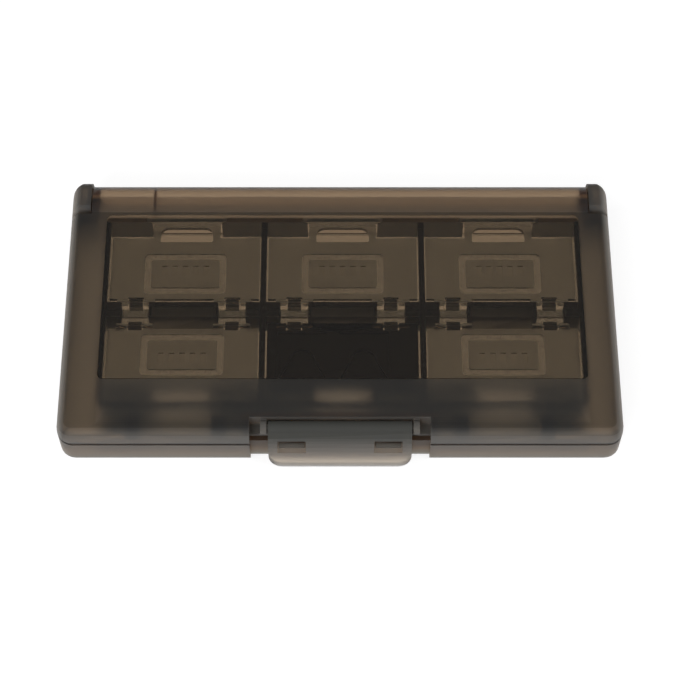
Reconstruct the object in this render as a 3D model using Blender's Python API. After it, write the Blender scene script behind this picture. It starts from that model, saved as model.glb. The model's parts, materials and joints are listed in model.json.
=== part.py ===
"""A slim memory card case: two hinged translucent shells, a tray of six wells, six flaps and a front latch.

Everything is in metres with +Z up. The case stands on Z = 0, X runs across its width, +Y points to the hinge.
"""

import math

import bmesh
import bpy
from mathutils import Matrix, Vector

MM = 0.001

# Shared clearances
GAP = 0.3 * MM
PIVOT_GAP = 0.1 * MM
WELD = 0.25 * MM
OVERRUN = 2.0 * MM

# Outside of the case
SIDE_SPACE = 5.65 * MM
BASE_HEIGHT = 7.15 * MM
FRONT_REACH = 32.9 * MM
CORNER_RADIUS = 3.6 * MM
BOTTOM_EDGE = 0.5 * MM
TOP_EDGE = 2.4 * MM
TOP_EDGE_DROP = 4.0 * MM
LID_INNER_EDGE = 1.0 * MM
SHELL_WALL = 1.5 * MM
BASE_FLOOR = 1.3 * MM
LID_PANEL = 1.6 * MM

# Case hinge
SPINE_RADIUS = 4.05 * MM
HINGE_REACH = 29.3 * MM
EAR_RADIUS = 4.8 * MM
EAR_WIDTH = 4.7 * MM
SPINE_WALL = 1.4 * MM
SPINE_END_WALL = 1.7 * MM
SPINE_RIB = 0.6 * MM
SPINE_RIB_PLACE = 43.4 * MM
HINGE_PIN_RADIUS = 1.3 * MM
HINGE_PIN_HEAD_RADIUS = 2.0 * MM
HINGE_PIN_HEAD = 0.4 * MM
EAR_WALL = 1.1 * MM

# Card wells
CARD_DEPTH = 21.3 * MM
CARD_THICKNESS = 3.3 * MM
CARD_UNDER_CLEARANCE = 0.4 * MM
CARD_OVER_CLEARANCE = 0.3 * MM
COLUMN_PITCH = 36.5 * MM
COLUMN_SHIFT = 0.6 * MM
COLUMNS = 3
DIVIDER = 1.4 * MM
TRAY_WALL = 1.2 * MM
TRAY_FLOOR = 0.7 * MM
LIP_RISE = 2.5 * MM
TRAY_CORNER = 1.0 * MM
RIB_HALF_DEPTH = 2.0 * MM
RIB_WALL = 0.6 * MM
RIB_ROOF = 2.4 * MM
NOTCH_FLOOR_THICKNESS = 1.4 * MM
NOTCH_WIDTH = 6.4 * MM
APRON_THICKNESS = 1.0 * MM
APRON_INSET = 0.1 * MM

# Flap hinges on the rib
FLAP_AXIS_REACH = 3.1 * MM
HOOK_PLACE = 11.1 * MM
HOOK_WIDTH = 3.1 * MM
HOOK_RADIUS = 0.9 * MM
HOOK_STEM = 0.4 * MM
HOOK_FOOT = 0.4 * MM
HOOK_ARM_SETBACK = 0.2 * MM
HOOK_LIFT = 0.2 * MM
FLAP_PIN_RADIUS = 0.4 * MM
LIP_FLARE = 1.5 * MM

# Flaps
FLAP_THICKNESS = 1.0 * MM
FLAP_TOP_RISE = 0.4 * MM
FLAP_EDGE_REACH = 0.8 * MM
PLATE_END_REACH = 17.25 * MM
PRONG_WIDTH = 2.45 * MM
PRONG_RADIUS = 0.75 * MM
KNUCKLE_INSET = 0.1 * MM
THIN_WIDTH = 28.6 * MM
THIN_DEPTH = 2.3 * MM
THIN_THICKNESS = 0.8 * MM
TAB_WIDTH = 15.7 * MM
LIP_THICKNESS = 1.0 * MM
SLOT_WIDTH = 12.3 * MM
SLOT_START_REACH = 16.05 * MM
SLOT_NEAR_CORNER = 0.4 * MM
SLOT_FAR_CORNER = 2.0 * MM
EMBLEM_REACH = 7.5 * MM
EMBLEM_WIDTH = 19.0 * MM
EMBLEM_DEPTH = 10.6 * MM
EMBLEM_CORNER = 1.2 * MM
EMBLEM_SINK = 0.4 * MM
EMBLEM_BORDER = 1.6 * MM
EMBLEM_BARS = 5
EMBLEM_BAR_WIDTH = 1.3 * MM
EMBLEM_BAR_DEPTH = 2.6 * MM
EMBLEM_BAR_PITCH = 2.4 * MM

# Small card holder
HOLDER_BACK_REACH = 0.65 * MM
HOLDER_DEPTH = 1.4 * MM
HOLDER_INSET = 0.8 * MM
HOLDER_BLOCK_END_REACH = 14.65 * MM
POCKET_PITCH = 14.0 * MM
POCKET_SHIFT = 2.2 * MM
POCKET_WIDTH = 11.4 * MM
POCKET_NEAR_REACH = 1.55 * MM
POCKET_FAR_REACH = 13.55 * MM
POCKET_SINK = 0.9 * MM
SCOOP_RADIUS = 2.9 * MM
SCOOP_REACH = 8.55 * MM
SCOOP_SINK = 0.8 * MM

# Latch and its recess
LATCH_WIDTH = 31.9 * MM
LATCH_WALL = 1.3 * MM
LATCH_CORNER = 3.0 * MM
LATCH_LOW = 1.0 * MM
RECESS_SIDE_SPACE = 2.45 * MM
RECESS_DEPTH = 4.5 * MM
LEDGE_DEPTH = 2.4 * MM
LEDGE_THICKNESS = 1.0 * MM
BASE_SETBACK = 1.1 * MM
LATCH_AXIS_SETBACK = 2.75 * MM
LATCH_AXIS_DROP = 1.75 * MM
LATCH_BARREL_RADIUS = 1.45 * MM
LATCH_STUB_RADIUS = 0.75 * MM
LUG_WIDTH = 1.4 * MM
LUG_RADIUS = 1.6 * MM
CATCH_SETBACK = 5.2 * MM
CATCH_WINDOW_LOW = 5.3 * MM
CATCH_WINDOW_HIGH = 8.7 * MM
CATCH_WIDTH = 5.7 * MM
CATCH_REACH = 1.3 * MM
CATCH_ROOT_LOW = 5.6 * MM
CATCH_ROOT_HIGH = 7.0 * MM
CATCH_TIP_LOW = 5.95 * MM
CATCH_TIP_HIGH = 6.6 * MM

# Stops inside the lid's front edge
STOP_RECESS_SPACE = 6.8 * MM
STOP_SIDE_SPACE = 17.0 * MM
STOP_WIDTH = 3.4 * MM
STOP_DEPTH = 4.0 * MM
STOP_HEIGHT = 2.6 * MM

# Round mark of the tool's ejector on the lid's underside
EJECTOR_RADIUS = 4.7 * MM
EJECTOR_REACH = 20.9 * MM
EJECTOR_SINK = 0.2 * MM

# Polished window in the lid
WINDOW_WIDTH = 109.6 * MM
WINDOW_FRONT_REACH = 19.0 * MM
WINDOW_REAR_REACH = 23.6 * MM
WINDOW_RISE = 0.25 * MM
WINDOW_CORNER = 1.1 * MM

# Roundness, in straight pieces to a quarter turn
CORNER_STEPS = 6
EDGE_STEPS = 3
TOP_EDGE_STEPS = 7
PIVOT_STEPS = 5

# The latch's outer face from its barrel down to its lip, as shares of the way forward and of the way down
LATCH_FACE_SHARES = (
    (0.00, 0.00),
    (0.14, 0.04),
    (0.30, 0.13),
    (0.45, 0.235),
    (0.57, 0.35),
    (0.66, 0.46),
    (0.73, 0.575),
    (0.79, 0.69),
    (0.855, 0.81),
    (0.93, 0.91),
    (1.00, 1.00),
)
LATCH_REACH = 2.45 * MM

# Places worked out from the sizes above
TRAY_HALF_WIDTH = COLUMNS * COLUMN_PITCH / 2 - DIVIDER / 2 + TRAY_WALL
CASE_WIDTH = 2 * (TRAY_HALF_WIDTH + COLUMN_SHIFT + SIDE_SPACE + SHELL_WALL)
TRAY_LOW = BASE_FLOOR + GAP
CELL_FLOOR = TRAY_LOW + TRAY_FLOOR
FLAP_UNDERSIDE = FLAP_TOP_RISE - FLAP_THICKNESS
FLAP_AXIS_HEIGHT = CELL_FLOOR + CARD_THICKNESS + CARD_UNDER_CLEARANCE - FLAP_UNDERSIDE
TRAY_TOP = FLAP_AXIS_HEIGHT + LIP_RISE
NOTCH_FLOOR = FLAP_AXIS_HEIGHT - HOOK_RADIUS - HOOK_LIFT
LID_UNDERSIDE = FLAP_AXIS_HEIGHT + FLAP_TOP_RISE + CARD_THICKNESS + CARD_OVER_CLEARANCE
CASE_HEIGHT = LID_UNDERSIDE + LID_PANEL
EAR_REACH = HINGE_REACH + EAR_RADIUS
MIDDLE_Y = (FRONT_REACH + LATCH_REACH - EAR_REACH) / 2
FRONT_Y = MIDDLE_Y - FRONT_REACH
HINGE_Y = MIDDLE_Y + HINGE_REACH
HINGE_Z = CASE_HEIGHT - SPINE_RADIUS
REAR_Y = HINGE_Y + EAR_RADIUS
EAR_FRONT_Y = HINGE_Y - EAR_RADIUS
BAY_HALF = CASE_WIDTH / 2 - EAR_WIDTH
BAY_HEIGHT = HINGE_Z - SPINE_RADIUS - GAP
SPINE_HALF = BAY_HALF - GAP
LID_LOW = BASE_HEIGHT + GAP
CELL_WIDTH = COLUMN_PITCH - DIVIDER
CELL_END = RIB_HALF_DEPTH + CARD_DEPTH
TRAY_HALF_DEPTH = CELL_END + TRAY_WALL
LIP_END_REACH = TRAY_HALF_DEPTH - GAP / 2 - FLAP_AXIS_REACH
LIP_START_REACH = LIP_END_REACH - LIP_THICKNESS
LATCH_AXIS_Y = FRONT_Y + LATCH_AXIS_SETBACK
LATCH_AXIS_Z = CASE_HEIGHT - LATCH_AXIS_DROP
RECESS_Y = FRONT_Y + RECESS_DEPTH
BASE_RECESS_Y = FRONT_Y + BASE_SETBACK
RECESS_WIDTH = LATCH_WIDTH + 2 * (GAP + LUG_WIDTH + RECESS_SIDE_SPACE)
CATCH_PLACE = LATCH_WIDTH / 2 - CATCH_SETBACK
CATCH_WINDOW_WIDTH = CATCH_WIDTH + 2 * GAP
STOP_INNER_PLACE = RECESS_WIDTH / 2 + STOP_RECESS_SPACE
STOP_OUTER_PLACE = CASE_WIDTH / 2 - STOP_SIDE_SPACE

SMOKE = (0.16, 0.14, 0.11, 1.0)
CLEAR_SMOKE = (0.22, 0.19, 0.15, 1.0)
BLACK = (0.012, 0.012, 0.010, 1.0)


def material(name, colour, roughness, transmission=0.0):
    """A plastic with one colour."""
    finish = bpy.data.materials.new(name)
    finish.use_nodes = True
    shader = finish.node_tree.nodes["Principled BSDF"]
    shader.inputs["Base Color"].default_value = colour
    shader.inputs["Roughness"].default_value = roughness
    shader.inputs["Metallic"].default_value = 0.0
    shader.inputs["Transmission Weight"].default_value = transmission
    return finish


def arc(centre, radius, start, end, steps):
    """Points on an arc about centre, from the angle start to the angle end in degrees."""
    points = []
    for step in range(steps + 1):
        angle = math.radians(start + (end - start) * step / steps)
        points.append((centre[0] + radius * math.cos(angle), centre[1] + radius * math.sin(angle)))
    return points


def rounded_outline(low, high, radius, steps=CORNER_STEPS):
    """A rectangle from the corner low to the corner high with round corners, anticlockwise."""
    left, front = low[0] + radius, low[1] + radius
    right, rear = high[0] - radius, high[1] - radius
    corners = (((right, rear), 0), ((left, rear), 90), ((left, front), 180), ((right, front), 270))
    points = []
    for centre, start in corners:
        points += arc(centre, radius, start, start + 90, steps)
    return points


def loft(layers):
    """An object whose skin joins rings of points, each ring a list of 3-D points running anticlockwise."""
    mesh = bmesh.new()
    rings = [[mesh.verts.new(point) for point in layer] for layer in layers]
    mesh.faces.new(list(reversed(rings[0])))
    mesh.faces.new(rings[-1])
    for lower, upper in zip(rings, rings[1:]):
        for index in range(len(lower)):
            after = (index + 1) % len(lower)
            mesh.faces.new((lower[index], lower[after], upper[after], upper[index]))
    bmesh.ops.recalc_face_normals(mesh, faces=mesh.faces)
    data = bpy.data.meshes.new("solid")
    mesh.to_mesh(data)
    mesh.free()
    body = bpy.data.objects.new("solid", data)
    bpy.context.collection.objects.link(body)
    return body


def slab(outline, low, high):
    """A flat outline in X and Y, raised from low to high."""
    return loft([[(x, y, low) for x, y in outline], [(x, y, high) for x, y in outline]])


def bar_along_x(outline, low, high):
    """An outline in Y and Z, drawn out along X."""
    return loft([[(low, y, z) for y, z in outline], [(high, y, z) for y, z in outline]])


def bar_along_y(outline, low, high):
    """An outline in X and Z, drawn out along Y."""
    return loft([[(x, high, z) for x, z in outline], [(x, low, z) for x, z in outline]])


def box(low, high):
    """A plain block between two corners."""
    outline = ((low[0], low[1]), (high[0], low[1]), (high[0], high[1]), (low[0], high[1]))
    return slab(outline, low[2], high[2])


def rounded_box(low, high, radius, bottom_edge=0.0, top_edge=0.0, top_drop=0.0, steps=EDGE_STEPS):
    """A block with round upright corners and, where asked, round bottom and top edges.

    The top edge goes in by top_edge and comes down by top_drop, or by as much where top_drop isn't given.
    """
    top_drop = top_drop or top_edge

    def ring(inset, z):
        corner_low = (low[0] + inset, low[1] + inset)
        corner_high = (high[0] - inset, high[1] - inset)
        return [(x, y, z) for x, y in rounded_outline(corner_low, corner_high, radius - inset)]

    rings = []
    for step in range(EDGE_STEPS if bottom_edge else 0):
        turn = math.pi / 2 * step / EDGE_STEPS
        rings.append(ring(bottom_edge * (1 - math.sin(turn)), low[2] + bottom_edge * (1 - math.cos(turn))))
    rings.append(ring(0, low[2] + bottom_edge))
    rings.append(ring(0, high[2] - top_drop))
    for step in range(steps if top_edge else 0):
        turn = math.pi / 2 * (step + 1) / steps
        rings.append(ring(top_edge * (1 - math.cos(turn)), high[2] - top_drop * (1 - math.sin(turn))))
    return loft(rings)


def rod_along_x(centre, radius, low, high, steps=PIVOT_STEPS):
    """A round bar along X about a centre in Y and Z."""
    return bar_along_x(arc(centre, radius, 0, 360, 4 * steps)[:-1], low, high)


def combine(body, tool, operation):
    """Join, cut or intersect body with tool, and use the tool up."""
    step = body.modifiers.new(operation, "BOOLEAN")
    step.operation = operation
    step.solver = "EXACT"
    step.object = tool
    graph = bpy.context.evaluated_depsgraph_get()
    result = bpy.data.meshes.new_from_object(body.evaluated_get(graph))
    body.modifiers.clear()
    before = body.data
    body.data = result
    bpy.data.meshes.remove(before)
    spent = tool.data
    bpy.data.objects.remove(tool)
    bpy.data.meshes.remove(spent)


def add(body, *tools):
    """Join each tool to body."""
    for tool in tools:
        combine(body, tool, "UNION")


def cut(body, *tools):
    """Take each tool out of body."""
    for tool in tools:
        combine(body, tool, "DIFFERENCE")


def keep_inside(body, tool):
    """Keep what body and tool share."""
    combine(body, tool, "INTERSECT")


def finish_piece(body, name, finish, origin=None):
    """Name a piece, give it its material and put its origin at a point."""
    body.name = name
    body.data.name = name
    body.data.materials.clear()
    body.data.materials.append(finish)
    if origin is not None:
        body.data.transform(Matrix.Translation(-Vector(origin)))
        body.location = origin
    body.data.shade_smooth()
    body.data.set_sharp_from_angle(angle=math.radians(30))
    return body


def column_x(column):
    """The middle of a column of wells, counted from the left."""
    return COLUMN_SHIFT + (column - (COLUMNS - 1) / 2) * COLUMN_PITCH


def domed_box(low_z, rear_y, inset=0.0):
    """A block with the outline of the case and its softly rounded top edge, or smaller all round by an inset."""
    half = CASE_WIDTH / 2 - inset
    low, high = (-half, FRONT_Y + inset, low_z), (half, rear_y - inset, CASE_HEIGHT - inset)
    return rounded_box(low, high, CORNER_RADIUS - inset, 0.0, TOP_EDGE, TOP_EDGE_DROP, TOP_EDGE_STEPS)


def make_base_shell(finish):
    """The lower shell: a rounded tray, an ear at each rear corner and two catches in the latch recess."""
    half = CASE_WIDTH / 2
    shell_low = (-half, FRONT_Y, 0)
    body = rounded_box(shell_low, (half, REAR_Y, BASE_HEIGHT), CORNER_RADIUS, bottom_edge=BOTTOM_EDGE)
    cut(body, box((-BAY_HALF, EAR_FRONT_Y - SHELL_WALL, BAY_HEIGHT), (BAY_HALF, REAR_Y + OVERRUN, CASE_HEIGHT)))
    cavity_low = (-half + SHELL_WALL, FRONT_Y + SHELL_WALL, BASE_FLOOR)
    cavity_high = (half - SHELL_WALL, EAR_FRONT_Y - SHELL_WALL, CASE_HEIGHT)
    cut(body, rounded_box(cavity_low, cavity_high, CORNER_RADIUS - SHELL_WALL))
    bay_low = (-BAY_HALF + SHELL_WALL, EAR_FRONT_Y - SHELL_WALL - OVERRUN, BASE_FLOOR)
    cut(body, box(bay_low, (BAY_HALF - SHELL_WALL, REAR_Y - SHELL_WALL, CASE_HEIGHT)))
    recess_half = RECESS_WIDTH / 2
    doubling_low = (-recess_half - SHELL_WALL, FRONT_Y + SHELL_WALL - WELD, BASE_FLOOR - WELD)
    doubling_high = (recess_half + SHELL_WALL, BASE_RECESS_Y + SHELL_WALL, BASE_HEIGHT)
    add(body, box(doubling_low, doubling_high))
    cut(body, box((-recess_half, FRONT_Y - OVERRUN, -OVERRUN), (recess_half, BASE_RECESS_Y, CASE_HEIGHT)))
    for side in (-1, 1):
        add(body, make_ear(side), make_catch(side))
        cut(body, make_ear_hollow(side))
        bore_ear(body, side)
    return finish_piece(body, "base_shell", finish)


def make_ear(side):
    """A hinge ear: a round cheek about the case hinge, cut level with the lid and rounded like the case."""
    half = CASE_WIDTH / 2
    foot_z = BASE_HEIGHT - 2 * WELD
    inner, outer = sorted((side * BAY_HALF, side * (half + OVERRUN)))
    ear = rod_along_x((HINGE_Y, HINGE_Z), EAR_RADIUS, inner, outer, steps=2 * PIVOT_STEPS)
    add(ear, box((inner, EAR_FRONT_Y, foot_z - OVERRUN), (outer, REAR_Y, HINGE_Z)))
    keep_inside(ear, domed_box(foot_z, REAR_Y))
    return ear


def make_ear_hollow(side):
    """The inside of one ear and of the corner under it, open to the inside of the case at its front."""
    low, high = sorted((side * (BAY_HALF + EAR_WALL), side * (CASE_WIDTH / 2 - EAR_WALL)))
    radius = EAR_RADIUS - EAR_WALL
    hollow = rod_along_x((HINGE_Y, HINGE_Z), radius, low, high, steps=2 * PIVOT_STEPS)
    add(hollow, box((low, HINGE_Y - radius, BASE_FLOOR), (high, HINGE_Y + radius, HINGE_Z)))
    mouth_low = (low, EAR_FRONT_Y - SHELL_WALL - WELD, BASE_FLOOR)
    add(hollow, box(mouth_low, (high, HINGE_Y - radius + WELD, BASE_HEIGHT - EAR_WALL)))
    keep_inside(hollow, domed_box(0.0, REAR_Y, EAR_WALL))
    return hollow


def bore_ear(body, side):
    """Bore one ear for the hinge pin's shank, and wider outside for its head."""
    half = CASE_WIDTH / 2
    centre = (HINGE_Y, HINGE_Z)
    step = half - HINGE_PIN_HEAD - GAP
    low, high = sorted((side * (BAY_HALF - OVERRUN), side * (step + WELD)))
    cut(body, rod_along_x(centre, HINGE_PIN_RADIUS + PIVOT_GAP, low, high))
    low, high = sorted((side * step, side * (half + OVERRUN)))
    cut(body, rod_along_x(centre, HINGE_PIN_HEAD_RADIUS + PIVOT_GAP, low, high))


def make_catch(side):
    """A catch that reaches into the latch's window, a wedge with a sloping underside that the latch clears."""
    root = BASE_RECESS_Y + WELD
    tip = BASE_RECESS_Y - CATCH_REACH
    outline = ((root, CATCH_ROOT_LOW), (root, CATCH_ROOT_HIGH), (tip, CATCH_TIP_HIGH), (tip, CATCH_TIP_LOW))
    middle = side * CATCH_PLACE
    return bar_along_x(outline, middle - CATCH_WIDTH / 2, middle + CATCH_WIDTH / 2)


def latch_face():
    """The latch's outer face as points in Y and Z, from the top of its barrel to its lip."""
    top_y, top_z = LATCH_AXIS_Y, LATCH_AXIS_Z + LATCH_BARREL_RADIUS
    reach = top_y - (FRONT_Y - LATCH_REACH)
    drop = top_z - LATCH_LOW
    return [(top_y - forward * reach, top_z - down * drop) for forward, down in LATCH_FACE_SHARES]


def latch_back():
    """The latch's inner face, one wall behind the outer face, in the same order."""
    face = latch_face()
    back = []
    for index, (y, z) in enumerate(face):
        before = face[max(index - 1, 0)]
        after = face[min(index + 1, len(face) - 1)]
        run = Vector((after[0] - before[0], after[1] - before[1])).normalized()
        back.append((y - run.y * LATCH_WALL, z + run.x * LATCH_WALL))
    return back


def make_latch(finish):
    """The latch: a curved plate under a pivot barrel, with two windows for the catches and a stub at each end."""
    half = LATCH_WIDTH / 2
    body = bar_along_x(latch_face() + list(reversed(latch_back())), -half, half)
    add(body, rod_along_x((LATCH_AXIS_Y, LATCH_AXIS_Z), LATCH_BARREL_RADIUS, -half, half))
    front_low = (-half, LATCH_LOW)
    front_high = (half, CASE_HEIGHT + LATCH_CORNER)
    shield = rounded_outline(front_low, front_high, LATCH_CORNER)
    keep_inside(body, bar_along_y(shield, FRONT_Y - LATCH_REACH - OVERRUN, RECESS_Y + OVERRUN))
    for side in (-1, 1):
        middle = side * CATCH_PLACE
        window_low = (middle - CATCH_WINDOW_WIDTH / 2, FRONT_Y - LATCH_REACH - OVERRUN, CATCH_WINDOW_LOW)
        window_high = (middle + CATCH_WINDOW_WIDTH / 2, BASE_RECESS_Y + OVERRUN, CATCH_WINDOW_HIGH)
        cut(body, box(window_low, window_high))
        inner, outer = side * (half - WELD), side * (half + GAP + LUG_WIDTH)
        low, high = sorted((inner, outer))
        add(body, rod_along_x((LATCH_AXIS_Y, LATCH_AXIS_Z), LATCH_STUB_RADIUS, low, high))
    return finish_piece(body, "latch", finish, (0, LATCH_AXIS_Y, LATCH_AXIS_Z))


def make_lid_shell(finish):
    """The upper shell: a shallow lid with a raised window, a hollow hinge spine and the latch's recess."""
    half = CASE_WIDTH / 2
    wall_rear = EAR_FRONT_Y - GAP
    body = domed_box(LID_LOW, REAR_Y)
    rear_low = (-half - OVERRUN, HINGE_Y, LID_LOW - OVERRUN)
    cut(body, box(rear_low, (half + OVERRUN, REAR_Y + OVERRUN, CASE_HEIGHT + OVERRUN)))
    for side in (-1, 1):
        low, high = sorted((side * SPINE_HALF, side * (half + OVERRUN)))
        cut(body, box((low, wall_rear, LID_LOW - OVERRUN), (high, HINGE_Y + OVERRUN, CASE_HEIGHT + OVERRUN)))
    under_low = (-half - OVERRUN, wall_rear, LID_LOW - OVERRUN)
    cut(body, box(under_low, (half + OVERRUN, HINGE_Y + OVERRUN, LID_UNDERSIDE)))
    cavity_low = (-half + SHELL_WALL, FRONT_Y + SHELL_WALL, LID_LOW - OVERRUN)
    cavity_high = (half - SHELL_WALL, wall_rear - SHELL_WALL, LID_UNDERSIDE)
    cut(body, rounded_box(cavity_low, cavity_high, CORNER_RADIUS - SHELL_WALL, top_edge=LID_INNER_EDGE))
    passage_low = (-SPINE_HALF + SHELL_WALL, wall_rear - SHELL_WALL - OVERRUN, LID_LOW - OVERRUN)
    cut(body, box(passage_low, (SPINE_HALF - SHELL_WALL, HINGE_Y, LID_UNDERSIDE)))
    add(body, make_spine(), make_spine_end(-1), make_spine_end(1), make_spine_rib())
    for place in (-STOP_OUTER_PLACE, -STOP_INNER_PLACE, STOP_INNER_PLACE, STOP_OUTER_PLACE):
        stop_low = (place - STOP_WIDTH / 2, FRONT_Y + SHELL_WALL - WELD, LID_UNDERSIDE - STOP_HEIGHT)
        stop_high = (place + STOP_WIDTH / 2, stop_low[1] + STOP_DEPTH, LID_UNDERSIDE + WELD)
        add(body, box(stop_low, stop_high))
    window_low = (COLUMN_SHIFT - WINDOW_WIDTH / 2, MIDDLE_Y - WINDOW_FRONT_REACH, CASE_HEIGHT - WELD)
    window_high = (COLUMN_SHIFT + WINDOW_WIDTH / 2, MIDDLE_Y + WINDOW_REAR_REACH, CASE_HEIGHT + WINDOW_RISE)
    add(body, rounded_box(window_low, window_high, WINDOW_CORNER))
    mark = arc((0, MIDDLE_Y - EJECTOR_REACH), EJECTOR_RADIUS, 0, 360, 4 * CORNER_STEPS)[:-1]
    cut(body, slab(mark, LID_LOW, LID_UNDERSIDE + EJECTOR_SINK))
    recess_lid(body)
    return finish_piece(body, "lid_shell", finish, (0, HINGE_Y, HINGE_Z))


def make_spine():
    """The spine: a half round that runs from the lid's top round the rear to its lowest point."""
    outer = arc((HINGE_Y, HINGE_Z), SPINE_RADIUS, -90, 90, 2 * PIVOT_STEPS)
    inner = arc((HINGE_Y, HINGE_Z), SPINE_RADIUS - SPINE_WALL, 90, -90, 2 * PIVOT_STEPS)
    root = [(HINGE_Y - OVERRUN, CASE_HEIGHT), (HINGE_Y - OVERRUN, CASE_HEIGHT - SPINE_WALL)]
    return bar_along_x(outer + root + inner, -SPINE_HALF, SPINE_HALF)


def make_spine_end(side):
    """A disc that closes one end of the spine, bored for the hinge pin."""
    low, high = sorted((side * SPINE_HALF, side * (SPINE_HALF - SPINE_END_WALL)))
    disc = rod_along_x((HINGE_Y, HINGE_Z), SPINE_RADIUS, low, high, steps=2 * PIVOT_STEPS)
    bore = rod_along_x((HINGE_Y, HINGE_Z), HINGE_PIN_RADIUS + PIVOT_GAP, low - OVERRUN, high + OVERRUN)
    cut(disc, bore)
    return disc


def make_spine_rib():
    """A thin web inside the spine, near its left end."""
    low = -SPINE_RIB_PLACE - SPINE_RIB / 2
    return rod_along_x((HINGE_Y, HINGE_Z), SPINE_RADIUS - WELD, low, low + SPINE_RIB, steps=2 * PIVOT_STEPS)


def recess_lid(body):
    """Cut the latch's recess into the lid's front, with a wall behind it, a ledge under it and two lugs in it."""
    half = RECESS_WIDTH / 2
    block_low = (-half - SHELL_WALL, FRONT_Y + SHELL_WALL - WELD, LID_LOW)
    add(body, box(block_low, (half + SHELL_WALL, RECESS_Y + SHELL_WALL, LID_UNDERSIDE + WELD)))
    front = FRONT_Y - OVERRUN
    ledge_top = LID_LOW + LEDGE_THICKNESS
    cut(body, box((-half, front, ledge_top), (half, RECESS_Y, CASE_HEIGHT + OVERRUN)))
    cut(body, box((-half, front, LID_LOW - OVERRUN), (half, RECESS_Y - LEDGE_DEPTH, CASE_HEIGHT)))
    for side in (-1, 1):
        add(body, make_lug(side, ledge_top))


def make_lug(side, ledge_top):
    """A lug beside the latch, round about the latch's axis and bored for its stub."""
    inner = side * (LATCH_WIDTH / 2 + GAP)
    low, high = sorted((inner, inner + side * LUG_WIDTH))
    centre = (LATCH_AXIS_Y, LATCH_AXIS_Z)
    lug = rod_along_x(centre, LUG_RADIUS, low, high)
    foot_low = (low, LATCH_AXIS_Y, ledge_top - WELD)
    add(lug, box(foot_low, (high, RECESS_Y + WELD, LATCH_AXIS_Z + LUG_RADIUS / 2)))
    cut(lug, rod_along_x(centre, LATCH_STUB_RADIUS + PIVOT_GAP, low - OVERRUN, high + OVERRUN))
    return lug


def make_hinge_pin(side, finish):
    """A stepped plug on the case hinge: its head sits in the ear and its shank in the spine's end."""
    half = CASE_WIDTH / 2
    head_outer = half
    head_inner = head_outer - HINGE_PIN_HEAD
    tip = SPINE_HALF - SPINE_END_WALL - GAP
    centre = (HINGE_Y, HINGE_Z)
    low, high = sorted((side * head_inner, side * head_outer))
    body = rod_along_x(centre, HINGE_PIN_HEAD_RADIUS, low, high)
    low, high = sorted((side * tip, side * (head_inner + WELD)))
    add(body, rod_along_x(centre, HINGE_PIN_RADIUS, low, high))
    keep_inside(body, domed_box(0.0, REAR_Y))
    name = "hinge_pin_left" if side < 0 else "hinge_pin_right"
    return finish_piece(body, name, finish, (side * half, HINGE_Y, HINGE_Z))


def make_card_tray(finish):
    """The insert: an open tray with two dividers, a hollow middle rib and two hooks for each flap."""
    low = (COLUMN_SHIFT - TRAY_HALF_WIDTH, MIDDLE_Y - TRAY_HALF_DEPTH, TRAY_LOW)
    high = (COLUMN_SHIFT + TRAY_HALF_WIDTH, MIDDLE_Y + TRAY_HALF_DEPTH, TRAY_TOP)
    body = rounded_box(low, high, TRAY_CORNER)
    for column in range(COLUMNS):
        middle = column_x(column)
        for row in (-1, 1):
            near, far = sorted((row * RIB_HALF_DEPTH, row * CELL_END))
            cell_low = (middle - CELL_WIDTH / 2, MIDDLE_Y + near, CELL_FLOOR)
            cut(body, box(cell_low, (middle + CELL_WIDTH / 2, MIDDLE_Y + far, TRAY_TOP + OVERRUN)))
            cut(body, make_lip_opening(middle, row))
        cut(body, make_rib_hollow(middle))
        for place in (middle - HOOK_PLACE, middle + HOOK_PLACE):
            cut(body, rib_block(place, NOTCH_FLOOR, TRAY_TOP + OVERRUN))
            cut(body, rib_block(place, CELL_FLOOR, NOTCH_FLOOR - NOTCH_FLOOR_THICKNESS))
            add(body, make_hook(place, -1), make_hook(place, 1))
    add(body, make_apron())
    return finish_piece(body, "card_tray", finish)


def make_apron():
    """The thin apron low on the tray's front that reaches to the base's front wall and round the latch's recess."""
    half = TRAY_HALF_WIDTH - APRON_INSET
    left, right = COLUMN_SHIFT - half, COLUMN_SHIFT + half
    root, front = MIDDLE_Y - TRAY_HALF_DEPTH + WELD, FRONT_Y + SHELL_WALL + GAP
    step, step_y = RECESS_WIDTH / 2 + SHELL_WALL + GAP, BASE_RECESS_Y + SHELL_WALL + GAP
    outline = [(left, front), (-step, front), (-step, step_y), (step, step_y), (step, front), (right, front)]
    low_z = TRAY_LOW + APRON_INSET
    return slab(outline + [(right, root), (left, root)], low_z, low_z + APRON_THICKNESS)


def flared_outline(half_width, low, high):
    """A straight-sided outline in X and Z whose sides curve outward over the last of its height."""
    right = arc((half_width + LIP_FLARE, high - LIP_FLARE), LIP_FLARE, 180, 90, CORNER_STEPS)
    left = [(-x, z) for x, z in reversed(right)]
    return [(half_width, low)] + right + left + [(-half_width, low)]


def make_lip_opening(middle, row):
    """The opening in the tray's outer wall that one flap's lip fills."""
    outline = flared_outline(TAB_WIDTH / 2 + GAP, CELL_FLOOR, TRAY_TOP)
    outline = [(middle + x, z) for x, z in outline]
    top_left, top_right = outline[len(outline) // 2], outline[len(outline) // 2 - 1]
    spill = [(top_right[0], TRAY_TOP + OVERRUN), (top_left[0], TRAY_TOP + OVERRUN)]
    outline = outline[:len(outline) // 2] + spill + outline[len(outline) // 2:]
    near, far = sorted((MIDDLE_Y + row * (CELL_END - WELD), MIDDLE_Y + row * (TRAY_HALF_DEPTH + OVERRUN)))
    return bar_along_y(outline, near, far)


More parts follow.
